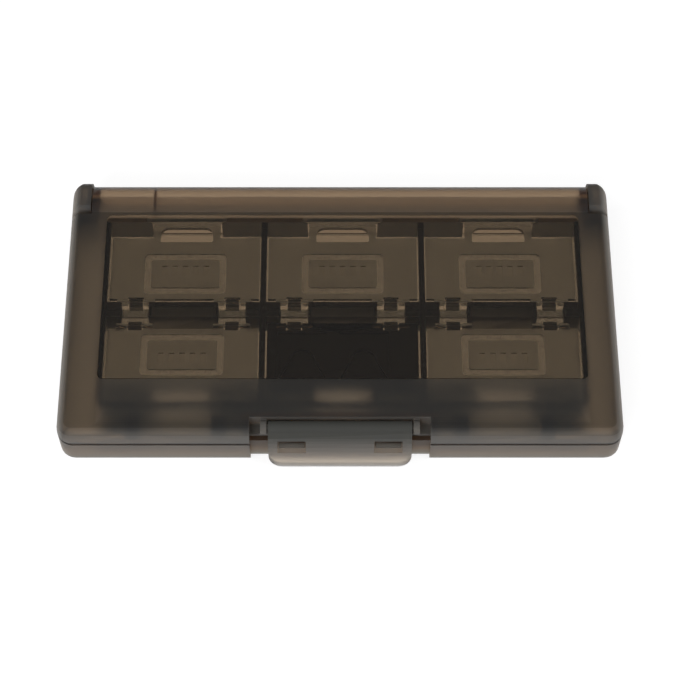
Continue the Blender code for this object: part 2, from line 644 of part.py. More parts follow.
def make_rib_hollow(middle):
    """What is taken out of the rib from below: deep between the two pairs of hooks and shallow under them."""
    half = CELL_WIDTH / 2
    deep = HOOK_PLACE - NOTCH_WIDTH / 2 - RIB_WALL
    floor_low = NOTCH_FLOOR - NOTCH_FLOOR_THICKNESS
    right = [(half, TRAY_LOW - OVERRUN), (half, floor_low), (deep, floor_low), (deep, TRAY_TOP - RIB_ROOF)]
    outline = [(middle + x, z) for x, z in right] + [(middle - x, z) for x, z in reversed(right)]
    inside = RIB_HALF_DEPTH - RIB_WALL
    return bar_along_y(outline, MIDDLE_Y - inside, MIDDLE_Y + inside)


def rib_block(place, low, high):
    """A block right across the rib at a pair of hooks, from the height low to the height high."""
    half, far = NOTCH_WIDTH / 2, RIB_HALF_DEPTH + WELD
    return box((place - half, MIDDLE_Y - far, low), (place + half, MIDDLE_Y + far, high))


def make_hook(middle, row):
    """A clip on the rib that holds one flap's pin: a foot, a cradle and an arm that bends over the pin."""
    low, high = middle - HOOK_WIDTH / 2, middle + HOOK_WIDTH / 2
    axis_y = MIDDLE_Y + row * FLAP_AXIS_REACH
    hook = rod_along_x((axis_y, FLAP_AXIS_HEIGHT), HOOK_RADIUS, low, high)
    near, wall = RIB_HALF_DEPTH - HOOK_STEM, RIB_HALF_DEPTH
    foot_low = FLAP_AXIS_HEIGHT - HOOK_RADIUS + PIVOT_GAP
    foot = [(near, NOTCH_FLOOR - WELD), (wall, NOTCH_FLOOR - WELD), (wall, foot_low), (FLAP_AXIS_REACH, foot_low)]
    foot += [(FLAP_AXIS_REACH, foot_low + HOOK_FOOT), (near, foot_low + HOOK_FOOT)]
    add(hook, bar_along_x([(MIDDLE_Y + row * reach, z) for reach, z in foot], low, high))
    bore_radius = FLAP_PIN_RADIUS + PIVOT_GAP
    cut(hook, rod_along_x((axis_y, FLAP_AXIS_HEIGHT), bore_radius, low - OVERRUN, high + OVERRUN))
    mouth_low, mouth_high = sorted((MIDDLE_Y, axis_y + row * HOOK_ARM_SETBACK))
    mouth_z = FLAP_AXIS_HEIGHT + PIVOT_GAP
    cut(hook, box((low - OVERRUN, mouth_low, mouth_z), (high + OVERRUN, mouth_high, mouth_z + OVERRUN)))
    return hook


def make_flap_body(near_edge):
    """A flap about its own hinge axis, reaching along +Y: a plate, two thin places, and a tab with slot and lip."""
    half = CELL_WIDTH / 2 - GAP
    tab, thin = TAB_WIDTH / 2, THIN_WIDTH / 2
    thin_start = PLATE_END_REACH - THIN_DEPTH
    right = [(half, PLATE_END_REACH), (thin, PLATE_END_REACH), (thin, thin_start), (tab, thin_start)]
    right.append((tab, LIP_END_REACH))
    body = slab(near_edge + right + [(-x, y) for x, y in reversed(right)], FLAP_UNDERSIDE, FLAP_TOP_RISE)
    step = (FLAP_THICKNESS - THIN_THICKNESS) / 2
    for side in (-1, 1):
        low, high = sorted((side * (tab - WELD), side * (thin + WELD)))
        thin_high = (high, PLATE_END_REACH - KNUCKLE_INSET, FLAP_TOP_RISE - step)
        add(body, box((low, thin_start - WELD, FLAP_UNDERSIDE + step), thin_high))
    add(body, bar_along_y(flared_outline(tab, FLAP_UNDERSIDE + WELD, LIP_RISE), LIP_START_REACH, LIP_END_REACH))
    cut(body, slab(slot_outline(), FLAP_UNDERSIDE - OVERRUN, OVERRUN))
    return body


def slot_outline():
    """The finger slot in a flap's tab, with wide corners on the lip's side and tight ones on the plate's."""
    near_x, far_x = SLOT_WIDTH / 2 - SLOT_NEAR_CORNER, SLOT_WIDTH / 2 - SLOT_FAR_CORNER
    near_y = SLOT_START_REACH + SLOT_NEAR_CORNER
    far_y = LIP_START_REACH - GAP - SLOT_FAR_CORNER
    right = arc((near_x, near_y), SLOT_NEAR_CORNER, -90, 0, CORNER_STEPS)
    right += arc((far_x, far_y), SLOT_FAR_CORNER, 0, 90, CORNER_STEPS)
    return right + [(-x, y) for x, y in reversed(right)]


def stepped_edge(plate_reach, steps):
    """The flap's near edge from left to right, at plate_reach but for its steps, each (low, high, reach)."""
    half = CELL_WIDTH / 2 - GAP
    points, place = [], -half
    for low, high, reach in steps:
        if low > place:
            points += [(place, plate_reach), (low, plate_reach)]
        points += [(low, reach), (high, reach)]
        place = high
    return points + [(place, plate_reach), (half, plate_reach)]


def hook_gap(place):
    """The step in a flap's near edge that clears one hook."""
    inner = HOOK_WIDTH / 2 + GAP
    return place - inner, place + inner, HOOK_RADIUS + GAP


def add_flap_hinge(body, place):
    """Two round knuckles and the thin pin between them that one hook of the tray holds."""
    inner = HOOK_WIDTH / 2 + GAP
    for side in (-1, 1):
        near, far = inner + KNUCKLE_INSET, inner + PRONG_WIDTH - KNUCKLE_INSET
        low, high = sorted((place + side * near, place + side * far))
        add(body, rod_along_x((0, 0), PRONG_RADIUS, low, high))
    add(body, rod_along_x((0, 0), FLAP_PIN_RADIUS, place - inner - WELD, place + inner + WELD))


def sink_emblem(body, middle_y):
    """Engrave a plain card outline with a row of contact bars at one end."""
    low_z, high_z = FLAP_TOP_RISE - EMBLEM_SINK, FLAP_TOP_RISE + OVERRUN
    low = (-EMBLEM_WIDTH / 2, middle_y - EMBLEM_DEPTH / 2)
    high = (EMBLEM_WIDTH / 2, middle_y + EMBLEM_DEPTH / 2)
    frame = slab(rounded_outline(low, high, EMBLEM_CORNER), low_z, high_z)
    inner_low = (low[0] + EMBLEM_BORDER, low[1] + EMBLEM_BORDER)
    inner_high = (high[0] - EMBLEM_BORDER, high[1] - EMBLEM_BORDER)
    cut(frame, slab(rounded_outline(inner_low, inner_high, EMBLEM_CORNER / 2), low_z - OVERRUN, high_z + OVERRUN))
    cut(body, frame)
    for bar in range(EMBLEM_BARS):
        middle = (bar - (EMBLEM_BARS - 1) / 2) * EMBLEM_BAR_PITCH
        bar_low = (middle - EMBLEM_BAR_WIDTH / 2, inner_high[1] - EMBLEM_BORDER - EMBLEM_BAR_DEPTH, low_z)
        cut(body, box(bar_low, (middle + EMBLEM_BAR_WIDTH / 2, bar_low[1] + EMBLEM_BAR_DEPTH, high_z)))


def make_clear_flap_body():
    """A clear flap with two prongs to each hook and its engraved outline."""
    inner = HOOK_WIDTH / 2 + GAP
    outer = inner + PRONG_WIDTH
    steps = []
    for place in (-HOOK_PLACE, HOOK_PLACE):
        steps.append((place - outer, place - inner, KNUCKLE_INSET))
        steps.append(hook_gap(place))
        steps.append((place + inner, place + outer, KNUCKLE_INSET))
    body = make_flap_body(stepped_edge(FLAP_EDGE_REACH, steps))
    for place in (-HOOK_PLACE, HOOK_PLACE):
        add_flap_hinge(body, place)
    sink_emblem(body, EMBLEM_REACH)
    return body


def make_holder_body():
    """The black holder: a flap with a block under it and two pockets for small cards, each with a finger scoop."""
    body = make_flap_body(stepped_edge(-HOLDER_BACK_REACH, [hook_gap(-HOOK_PLACE), hook_gap(HOOK_PLACE)]))
    half = CELL_WIDTH / 2 - GAP - HOLDER_INSET
    block_low = (-half, HOOK_RADIUS + GAP + HOLDER_INSET, FLAP_UNDERSIDE - HOLDER_DEPTH)
    add(body, box(block_low, (half, HOLDER_BLOCK_END_REACH, FLAP_UNDERSIDE + WELD)))
    for place in (-HOOK_PLACE, HOOK_PLACE):
        add_flap_hinge(body, place)
    for side in (-1, 1):
        middle = POCKET_SHIFT + side * POCKET_PITCH / 2
        pocket_low = (middle - POCKET_WIDTH / 2, POCKET_NEAR_REACH, FLAP_TOP_RISE - POCKET_SINK)
        cut(body, box(pocket_low, (middle + POCKET_WIDTH / 2, POCKET_FAR_REACH, OVERRUN)))
        scoop = arc((middle, SCOOP_REACH), SCOOP_RADIUS, 180, 360, 2 * CORNER_STEPS)
        far = POCKET_FAR_REACH - WELD
        scoop += [(middle + 2 * SCOOP_RADIUS - WELD, far), (middle - 2 * SCOOP_RADIUS + WELD, far)]
        cut(body, slab(scoop, FLAP_TOP_RISE - POCKET_SINK - SCOOP_SINK, OVERRUN))
    return body


def place_flap(body, name, column, row, finish):
    """Put a flap on its hinge axis, turned round for the front row."""
    finish_piece(body, name, finish)
    body.location = (column_x(column), MIDDLE_Y + row * FLAP_AXIS_REACH, FLAP_AXIS_HEIGHT)
    body.rotation_euler.z = 0 if row > 0 else math.pi
    return body


def clear_scene():
    """Take out whatever the file opened with."""
    for leftover in list(bpy.data.objects):
        bpy.data.objects.remove(leftover)


def main():
    clear_scene()
    smoke = material("smoke_plastic", SMOKE, 0.35, transmission=1.0)
    clear = material("clear_smoke_plastic", CLEAR_SMOKE, 0.08, transmission=1.0)
    black = material("black_plastic", BLACK, 0.4)
    make_base_shell(smoke)
    make_card_tray(clear)
    make_lid_shell(smoke)
    make_latch(smoke)
    for side in (-1, 1):
        make_hinge_pin(side, smoke)
    columns = ("left", "middle", "right")
    rows = (("rear", 1), ("front", -1))
    for row_name, row in rows:
        for column, column_name in enumerate(columns):
            if (row_name, column_name) == ("front", "middle"):
                place_flap(make_holder_body(), "small_card_holder", column, row, black)
            else:
                name = f"flap_{row_name}_{column_name}"
                place_flap(make_clear_flap_body(), name, column, row, clear)


main()
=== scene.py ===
# %% [markdown]
# # A memory card case in smoked plastic
# The case is two shallow shells on a hinge, with a tray of six wells inside and a hinged flap over each well.
# Everything but one black flap is see-through, so the picture is made by what the light loses on its way: one
# wall looks like weak tea, four walls like strong coffee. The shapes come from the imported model. This lesson
# rounds their edges, and then it is mostly about plastic and light.

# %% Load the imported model
import json
import math

import bmesh
import bpy
from mathutils import Matrix, Vector


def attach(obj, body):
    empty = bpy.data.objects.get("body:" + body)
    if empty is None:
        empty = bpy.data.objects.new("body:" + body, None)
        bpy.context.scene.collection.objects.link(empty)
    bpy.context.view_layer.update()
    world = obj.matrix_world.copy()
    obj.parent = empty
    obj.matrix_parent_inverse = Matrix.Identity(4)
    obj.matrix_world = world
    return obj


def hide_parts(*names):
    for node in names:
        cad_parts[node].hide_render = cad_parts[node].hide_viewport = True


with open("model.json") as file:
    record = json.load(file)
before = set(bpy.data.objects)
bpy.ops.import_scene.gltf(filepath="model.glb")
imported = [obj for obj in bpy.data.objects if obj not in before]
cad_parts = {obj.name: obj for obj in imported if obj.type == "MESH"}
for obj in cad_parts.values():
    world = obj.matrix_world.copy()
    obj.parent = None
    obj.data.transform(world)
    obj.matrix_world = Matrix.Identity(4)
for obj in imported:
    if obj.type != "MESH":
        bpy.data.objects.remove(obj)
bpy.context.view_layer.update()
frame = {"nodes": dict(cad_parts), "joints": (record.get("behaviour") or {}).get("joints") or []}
MM = 0.001
hinge_place = {joint["child"]: Vector(joint["pos_m"]) for joint in frame["joints"]}
print("nodes:", sorted(frame["nodes"]))

# %% [markdown]
# Moulded plastic has no knife edges: the corners of the steel tool leave a small radius on every edge, and it is
# this radius that catches the light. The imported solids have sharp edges, so each piece is copied, its loose
# triangles are merged into flat faces again, and its edges get a narrow bevel. Weighted normals then keep the
# broad faces truly flat, which matters twice in a clear plastic, because a bent normal also bends the view
# through it. The faces are cut into triangles last, because a face with a hole in it can be filled wrongly.

# %% Round the edges of a piece
FLAT_ANGLE = math.radians(0.5)
EDGE_ANGLE = math.radians(32)
SMOOTH_ANGLE = math.radians(40)
MERGE = 0.001 * MM
EDGE_RADIUS, EDGE_SEGMENTS = 0.12 * MM, 2
FLAT_FACE_WEIGHT = 100


def moulded(node, borders=(), radius=EDGE_RADIUS):
    """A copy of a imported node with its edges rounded, cut along borders, each an axis and a place on it."""
    data = bpy.data.meshes.new(node + "_moulded")
    mesh = bmesh.new()
    mesh.from_mesh(frame["nodes"][node].data)
    bmesh.ops.remove_doubles(mesh, verts=mesh.verts, dist=MERGE)
    bmesh.ops.dissolve_limit(mesh, angle_limit=FLAT_ANGLE, verts=mesh.verts, edges=mesh.edges)
    for axis, place in borders:
        direction = Vector([float(axis == name) for name in "XYZ"])
        bmesh.ops.bisect_plane(
            mesh, geom=mesh.verts[:] + mesh.edges[:] + mesh.faces[:], dist=MERGE,
            plane_co=direction * place, plane_no=direction)
    for face in mesh.faces:
        face.smooth = True
    mesh.to_mesh(data)
    mesh.free()
    piece = bpy.data.objects.new(node + "_moulded", data)
    bpy.context.scene.collection.objects.link(piece)
    data.set_sharp_from_angle(angle=SMOOTH_ANGLE)
    bevel = piece.modifiers.new("edge radius", "BEVEL")
    bevel.width = radius
    bevel.segments = EDGE_SEGMENTS
    bevel.limit_method = "ANGLE"
    bevel.angle_limit = EDGE_ANGLE
    bevel.miter_outer = "MITER_ARC"
    level = piece.modifiers.new("flat faces", "WEIGHTED_NORMAL")
    level.weight = FLAT_FACE_WEIGHT
    split = piece.modifiers.new("triangles", "TRIANGULATE")
    split.keep_custom_normals = True
    graph = bpy.context.evaluated_depsgraph_get()
    rounded = bpy.data.meshes.new_from_object(piece.evaluated_get(graph))
    piece.modifiers.clear()
    piece.data = rounded
    bpy.data.meshes.remove(data)
    rounded.name = piece.name
    print(node, len(rounded.polygons), "triangles")
    return piece


# %% [markdown]
# Colours are written as the eye knows them, in sRGB hex, and one function turns them to the linear light that
# shaders use. A second one adds a node with its settings and links, so that a material reads as a short list.

# %% Colours and nodes
def linear(code):
    """The linear colour of an sRGB hex code."""
    values = [int(code[place:place + 2], 16) / 255 for place in (0, 2, 4)]
    return [v / 12.92 if v <= 0.04045 else ((v + 0.055) / 1.055) ** 2.4 for v in values] + [1.0]


def add_node(tree, kind, settings=None, links=None):
    """A node with its settings, each a property or an input by name or number, and its links by input."""
    node = tree.nodes.new(kind)
    for name, value in (settings or {}).items():
        if isinstance(name, int) or name in node.inputs:
            node.inputs[name].default_value = value
        else:
            setattr(node, name, value)
    for name, source in (links or {}).items():
        tree.links.new(source, node.inputs[name])
    return node


print("the grey 808080 is", round(linear("808080")[0], 3), "in linear light")


# %% [markdown]
# Smoked ABS and polystyrene are tinted through and through, so the tint belongs to the volume and not to the
# surface: a thin wall stays light, and a wall that is seen along its length turns almost black. Volume Absorption
# does just that. The surface is as clear as glass where the tool was polished. Where the tool was sparked, the
# plastic comes out frosted: the view through it blurs, less of the white ground comes through, and a grey haze
# lies on top. One attribute on the faces, frost, says how deep the texture is and drives all three. The grain of
# a sparked tool is about 0.05 mm, too fine for the picture, so it is drawn at 0.4 mm and only stirs the gloss.
#
# Light that enters a frosted wall from outside wanders up inside it and comes out at its rim, which is why the
# case has a pale outline on white ground. Following such light would take minutes, so a rim glow is mixed in
# where the wall stands, as a paler surface with less of the view in it. A second attribute, glow, adds to it on
# single faces or takes it away.

# %% Smoked plastic
POLISHED_ROUGHNESS, FROSTED_ROUGHNESS = 0.05, 0.72
GRAIN, GRAIN_SHARE = 0.4 * MM, 0.1
RIM_COLOUR, RIM_SCATTER = "A8A096", 0.6
REFRACTION = 1.5
MIX_A, MIX_B, MIX_RESULT = 6, 7, 2  # a Mix node's sockets for colours


def rim_glow(tree, place, frost, rim):
    """How much a frosted face glows, from 0 to 1: more, the nearer it is to the sides and the front.

    The rim is given for the sides and for the front, each as where the glow starts, where it is full, and how
    strong it is there.
    """
    apart = add_node(tree, "ShaderNodeSeparateXYZ", None, {0: place}).outputs
    sideways = add_node(tree, "ShaderNodeMath", {"operation": "ABSOLUTE"}, {0: apart["X"]}).outputs[0]
    forward = add_node(tree, "ShaderNodeMath", {"operation": "MULTIPLY", 1: -1.0}, {0: apart["Y"]}).outputs[0]
    shares = []
    for distance, (start, end, share) in ((sideways, rim[0]), (forward, rim[1])):
        fade = {"interpolation_type": "SMOOTHSTEP", "From Min": start, "From Max": end, "To Max": share}
        shares.append(add_node(tree, "ShaderNodeMapRange", fade, {"Value": distance}).outputs[0])
    nearest = add_node(tree, "ShaderNodeMath", {"operation": "MAXIMUM"}, {0: shares[0], 1: shares[1]})
    return add_node(tree, "ShaderNodeMath", {"operation": "MULTIPLY"}, {
        0: nearest.outputs[0], 1: frost}).outputs[0]


def smoked_plastic(name, tint, density, haze, scatter, rim=None):
    """A tinted clear plastic: a refracting surface, polished or frosted by face, over an absorbing volume."""
    finish = bpy.data.materials.new(name)
    finish.use_nodes = True
    tree = finish.node_tree
    tree.nodes.clear()
    frost = add_node(tree, "ShaderNodeAttribute", {"attribute_name": "frost"}).outputs["Fac"]
    place = add_node(tree, "ShaderNodeTexCoord").outputs["Object"]
    grain = add_node(tree, "ShaderNodeTexNoise", {"Scale": 1 / GRAIN, "Detail": 1.0}, {
        "Vector": place}).outputs[0]
    # A shallow texture blurs nearly as much as a deep one, so the blur goes by the depth's square root.
    soon = add_node(tree, "ShaderNodeMath", {"operation": "POWER", 1: 0.5}, {0: frost})
    blur = add_node(tree, "ShaderNodeMapRange", {
        "To Min": POLISHED_ROUGHNESS, "To Max": FROSTED_ROUGHNESS}, {"Value": soon.outputs[0]})
    stir = add_node(tree, "ShaderNodeMath", {"operation": "MULTIPLY"}, {0: grain, 1: frost})
    rough = add_node(tree, "ShaderNodeMath", {"operation": "MULTIPLY_ADD", 1: GRAIN_SHARE}, {
        0: stir.outputs[0], 2: blur.outputs[0]})
    clear = add_node(tree, "ShaderNodeMapRange", {"To Min": 1.0, "To Max": 1.0 - scatter}, {
        "Value": frost}).outputs[0]
    colour = add_node(tree, "ShaderNodeMix", {
        "data_type": "RGBA", MIX_A: linear("FFFFFF"), MIX_B: linear(haze)}, {0: frost}).outputs[MIX_RESULT]
    glow = add_node(tree, "ShaderNodeAttribute", {"attribute_name": "glow"}).outputs["Fac"]
    if rim:
        near = rim_glow(tree, place, frost, rim)
        glow = add_node(tree, "ShaderNodeMath", {"operation": "ADD", "use_clamp": True}, {
            0: glow, 1: near}).outputs[0]
    colour = add_node(tree, "ShaderNodeMix", {"data_type": "RGBA", MIX_B: linear(RIM_COLOUR)}, {
        0: glow, MIX_A: colour}).outputs[MIX_RESULT]
    clear = add_node(tree, "ShaderNodeMath", {"operation": "MULTIPLY_ADD", 1: -RIM_SCATTER}, {
        0: glow, 2: clear}).outputs[0]
    surface = add_node(tree, "ShaderNodeBsdfPrincipled", {"IOR": REFRACTION}, {
        "Base Color": colour, "Roughness": rough.outputs[0], "Transmission Weight": clear})
    volume = add_node(tree, "ShaderNodeVolumeAbsorption", {"Color": linear(tint), "Density": density})
    add_node(tree, "ShaderNodeOutputMaterial", None, {
        "Surface": surface.outputs["BSDF"], "Volume": volume.outputs["Volume"]})
    print(name, "has", len(tree.nodes), "nodes")
    return finish


def mark(piece, name, value_of):
    """Store a value on each face of a piece, worked out from where the face lies and which way it looks."""
    values = [value_of(face.center, face.normal) for face in piece.data.polygons]
    layer = piece.data.attributes.new(name, "FLOAT", "FACE")
    layer.data.foreach_set("value", values)
    print(piece.name, name, "on", sum(value > 0 for value in values), "of", len(values), "faces")


def take_place(piece, node, body, finish=None):
    """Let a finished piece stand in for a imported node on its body."""
    if finish:
        piece.data.materials.clear()
        piece.data.materials.append(finish)
    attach(piece, body)
    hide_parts(node)


# %% [markdown]
# The shells are moulded of smoked ABS in one two-part tool. The lid's window, the base's floor and the insides are
# polished. The rest of the outside is sparked, which hides scratches. Each face is told apart by where it lies
# and which way it looks, with the few lengths below.

# %% Where the shells' zones lie
HALF_WIDTH, FRONT_Y, BACK_Y = 63.0 * MM, -32.275 * MM, 34.0 * MM
WALL, CORNER = 1.5 * MM, 3.6 * MM
LID_TOP, LID_UNDERSIDE, LID_BACK_Y = 12.2 * MM, 10.6 * MM, 24.0 * MM
LID_RIM, BASE_RIM, BASE_TOP, EAR_LOW = 7.85 * MM, 6.8 * MM, 7.15 * MM, 7.2 * MM
HINGE_AXIS, SPINE_RADIUS = hinge_place["lid"], 4.05 * MM
SPINE_START_Y, SPINE_CLEAR_Y = 25.2 * MM, 28.0 * MM
WINDOW_BACK_Y = 24.1 * MM
BAY_START_Y, BAY_LIGHT_Y = 25.3 * MM, 31.3 * MM
RECESS_HALF, RECESS_BACK_Y, RECESS_BASE_Y = 20.1 * MM, -27.7 * MM, -31.0 * MM
TRAY_MIDDLE_X, TRAY_HALF, TRAY_FADE = 0.65 * MM, 53.0 * MM, 1.8 * MM
FRONT_FADE_Y, FRONT_FADE = -26.2 * MM, 3.4 * MM
STOP_LOW = 8.0 * MM
EAR_START_X, EAR_HOLLOW_X, EAR_SKIN = 58.0 * MM, 59.0 * MM, 0.6 * MM
CATCH_PLACE, CATCH_HALF, CATCH_Y, CATCH_LOW = 10.75 * MM, 3.0 * MM, -31.2 * MM, 5.5 * MM
SLACK = 0.1 * MM
LEVEL, SLANTED, BARELY = 0.9, 0.5, 0.1  # how far a face's normal leans towards an axis


def is_outer(x, y):
    """Whether a place lies on the shells' outer side, front or front corners rather than inside the wall."""
    beyond_x = max(0, abs(x) - (HALF_WIDTH - CORNER))
    beyond_y = max(0, FRONT_Y + CORNER - y)
    return math.hypot(beyond_x, beyond_y) > CORNER - WALL / 2


def in_recess(centre):
    """Whether a face of the lid lies in the latch's recess."""
    beside = abs(centre.x) < RECESS_HALF + 2 * SLACK
    return beside and centre.y < RECESS_BACK_Y + 2 * SLACK and centre.z < LID_TOP


def on_ear(x, z):
    """Whether a place on the base belongs to one of its hinge ears."""
    return z > EAR_LOW and abs(x) > EAR_START_X


print("the lid's wall is outer from", round((HALF_WIDTH - WALL / 2) / MM, 2), "mm off the middle")

# %% [markdown]
# A tool is rarely sparked evenly. The depths below run from 0, polished, to 1. Over the tray the lid's border is a
# little less deep than round it, so the light patches of the tray show there, and the spine is the clearest part.

# %% How deep the lid's texture is
DEPTH = {
    "full": 1.0, "rim": 0.9, "ear": 0.85, "recess": 0.8, "ledge": 0.75, "outside": 0.7, "bay": 0.6,
    "behind the window": 0.5, "spine": 0.35, "spine's back": 0.1, "polished": 0.0}


def lid_frost(centre, normal):
    """How deep the texture is on a face of the lid."""
    x, y, z = centre
    if y > SPINE_START_Y and normal.z > LEVEL and z > LID_UNDERSIDE + SLACK:
        share = min(1, max(0, (SPINE_CLEAR_Y - y) / (SPINE_CLEAR_Y - SPINE_START_Y)))
        return DEPTH["spine"] + (DEPTH["ledge"] - DEPTH["spine"]) * share
    if y > SPINE_CLEAR_Y:
        from_axis = Vector((0, y - HINGE_AXIS.y, z - HINGE_AXIS.z))
        if from_axis.dot(normal) <= 0 or from_axis.length <= SPINE_RADIUS - WALL / 2:
            return DEPTH["polished"]
        return DEPTH["spine" if normal.z > BARELY else "spine's back"]
    if z > LID_TOP + SLACK:
        return DEPTH["polished"]
    if y > WINDOW_BACK_Y and normal.z < -SLANTED and abs(z - LID_UNDERSIDE) < SLACK:
        return DEPTH["behind the window"]
    if normal.z > LEVEL and z > LID_TOP - SLACK:
        if y > 0:
            return DEPTH["full"]
        past_side = (abs(x - TRAY_MIDDLE_X) - TRAY_HALF) / TRAY_FADE
        past_front = (FRONT_FADE_Y - y) / FRONT_FADE
        share = min(1, max(0, past_side, past_front))
        return DEPTH["outside"] + (DEPTH["full"] - DEPTH["outside"]) * share
    if normal.z < -LEVEL and abs(z - STOP_LOW) < SLACK:
        return DEPTH["full"]
    if normal.z > BARELY and z > LID_UNDERSIDE:
        return DEPTH["rim"]
    if in_recess(centre):
        return DEPTH["recess"]
    if is_outer(x, y):
        # The lid's strip where the shells part is sparked fully deep: painted shade for the thin shadow there.
        return DEPTH["outside" if z > LID_RIM else "full"]
    return DEPTH["behind the window" if y > LID_BACK_Y and normal.y > SLANTED else "polished"]


print("depths:", DEPTH)

# %% How deep the base's texture is
def base_frost(centre, normal):
    """How deep the texture is on a face of the base."""
    x, y, z = centre
    if normal.z > LEVEL and abs(z - BASE_TOP) < 2 * SLACK:
        return DEPTH["full"]
    if on_ear(x, z):
        on_end = abs(x) > HALF_WIDTH - EAR_SKIN or abs(x) < EAR_HOLLOW_X
        on_skin = on_end or normal.z > BARELY or abs(normal.y) > SLANTED
        return DEPTH["ear" if on_skin else "polished"]
    if z < SLACK:
        return DEPTH["bay" if BAY_START_Y < y < BAY_LIGHT_Y else "polished"]
    # The catches' tops are sparked fully deep: painted shade for the dark band in the latch's windows.
    if y < CATCH_Y and abs(abs(x) - CATCH_PLACE) < CATCH_HALF and z > CATCH_LOW:
        return DEPTH["full"]
    if is_outer(x, y) or y > BACK_Y:
        # The base's strip where the shells part is sparked fully deep: painted shade for the thin shadow there.
        return DEPTH["outside" if z < BASE_RIM else "full"]
    return DEPTH["recess" if abs(x) < RECESS_HALF and y < RECESS_BASE_Y else "polished"]


print("the base's outside is sparked", DEPTH["outside"], "deep")

# %% [markdown]
# The recess and the ears are small and thick, so light gathers in them. Where the shells part, a thin shadow is
# painted round the case instead: the rim's own glow is taken away, and the strips there are sparked fully deep.

# %% What glows
RECESS_GLOW, EAR_GLOW, NO_GLOW = 0.3, 0.12, -1.0


def lid_glow(centre, normal):
    """What a face of the lid glows beside the rim's own: some in the recess, and none where the shells part."""
    if in_recess(centre):
        return RECESS_GLOW
    return NO_GLOW if centre.z < LID_RIM and is_outer(centre.x, centre.y) else 0.0


def base_glow(centre, normal):
    """What a face of the base glows beside the rim's own: some on the ears, and none where the shells part."""
    if on_ear(centre.x, centre.z):
        return EAR_GLOW
    return NO_GLOW if BASE_RIM < centre.z < EAR_LOW and is_outer(centre.x, centre.y) else 0.0


# The sides glow fully at their outer face, the front a little less.
RIM = ((60.4 * MM, HALF_WIDTH, 1.0), (30.4 * MM, -FRONT_Y, 0.45))
smoked_shell = smoked_plastic(
    "smoked ABS, polished and sparked", tint="C4A876", density=730, haze="5B5A52", scatter=0.012, rim=RIM)

# %% [markdown]
# A face that is polished in one part and sparked in another is cut along the border first. Where the depth fades,
# the face is cut into narrow strips, so that no step shows.

# %% The shells
SPINE_STRIPS, FADE_STRIPS = 5, 6
fade = [SPINE_START_Y + (SPINE_CLEAR_Y - SPINE_START_Y) * step / SPINE_STRIPS for step in range(SPINE_STRIPS + 1)]
shares = [step / FADE_STRIPS for step in range(FADE_STRIPS + 1)]
fade += [WINDOW_BACK_Y] + [FRONT_FADE_Y - FRONT_FADE * share for share in shares]
sides = [TRAY_MIDDLE_X + side * (TRAY_HALF + TRAY_FADE * share) for share in shares for side in (-1, 1)]
lid = moulded("lid_shell", [("Y", y) for y in fade] + [("X", x) for x in sides] + [("Z", LID_RIM)])
mark(lid, "frost", lid_frost)
mark(lid, "glow", lid_glow)
take_place(lid, "lid_shell", "lid", smoked_shell)
base = moulded("base_shell", [("Y", BAY_START_Y), ("Y", BAY_LIGHT_Y), ("Z", BASE_RIM)])
mark(base, "frost", base_frost)
mark(base, "glow", base_glow)
take_place(base, "base_shell", "base", smoked_shell)

# %% [markdown]
# The hinge pins and the latch are separate mouldings in the same plastic. They are handled most, so their whole
# outside is sparked, and they look paler and greyer for it. The latch's texture is made shallower towards the lip,
# so the lip comes out lighter: painted light for the white paper that its forward face reflects.

# %% Pins and latch
smoked_latch = smoked_plastic(
    "smoked ABS, sparked all over", tint="C4A876", density=730, haze="565751", scatter=0.26)
# The lip's texture is shallower, so the lip shows lighter: painted light for the white paper it reflects.
LATCH_TOP_Z, LATCH_LIP_Z, PAINTED_LIP_LIGHT_DEPTH = 10.0 * MM, 2.0 * MM, 0.3
PIN_DEPTH = 0.8


def latch_frost(centre, normal):
    """How deep the texture is on a face of the latch: less, the lower the face is."""
    share = min(1, max(0, (centre.z - LATCH_LIP_Z) / (LATCH_TOP_Z - LATCH_LIP_Z)))
    return PAINTED_LIP_LIGHT_DEPTH + (1 - PAINTED_LIP_LIGHT_DEPTH) * share


def pin_frost(centre, normal):
    """How deep the texture is on a face of a hinge pin."""
    return PIN_DEPTH


for node, body, frost_of in (
    ("hinge_pin_left", "base", pin_frost), ("hinge_pin_right", "base", pin_frost), ("latch", "latch", latch_frost),
):
    piece = moulded(node)
    mark(piece, "frost", frost_of)
    take_place(piece, node, body, smoked_latch)

# %% [markdown]
# The tray and its flaps are smoked polystyrene, a little greener than the shells. The wells are polished. The rear
# wall, the clips, the front of the middle rib and the front of the underside are sparked, all but a clear patch
# in front of each well, which shows as a light spot through the lid.

# %% The tray
smoked_clear = smoked_plastic(
    "smoked polystyrene, polished", tint="617474", density=830, haze="50544C", scatter=0.2)
TRAY_REAR_Y, TRAY_TOP, TRAY_WALL = 25.0 * MM, 9.1 * MM, 1.2 * MM
MIDDLE_Y, RIB_HALF = 0.625 * MM, 2.0 * MM
CLIP_END, CLIP_LOW = 4.2 * MM, 5.55 * MM
COLUMNS_X = [hinge_place["flap_rear_" + side].x for side in ("left", "middle", "right")]
PATCH_HALF, UNDERSIDE, SPARKED_BEFORE_Y = 6.5 * MM, 1.8 * MM, -14.6 * MM
CLIP_DEPTH, REAR_DEPTH, RIB_DEPTH = 0.7, 0.9, 0.8
REAR_GLOW = 0.7


def on_rear_top(centre):
    """Whether a face belongs to the top of the tray's rear wall."""
    return centre.z > TRAY_TOP - SLACK and centre.y > TRAY_REAR_Y - TRAY_WALL


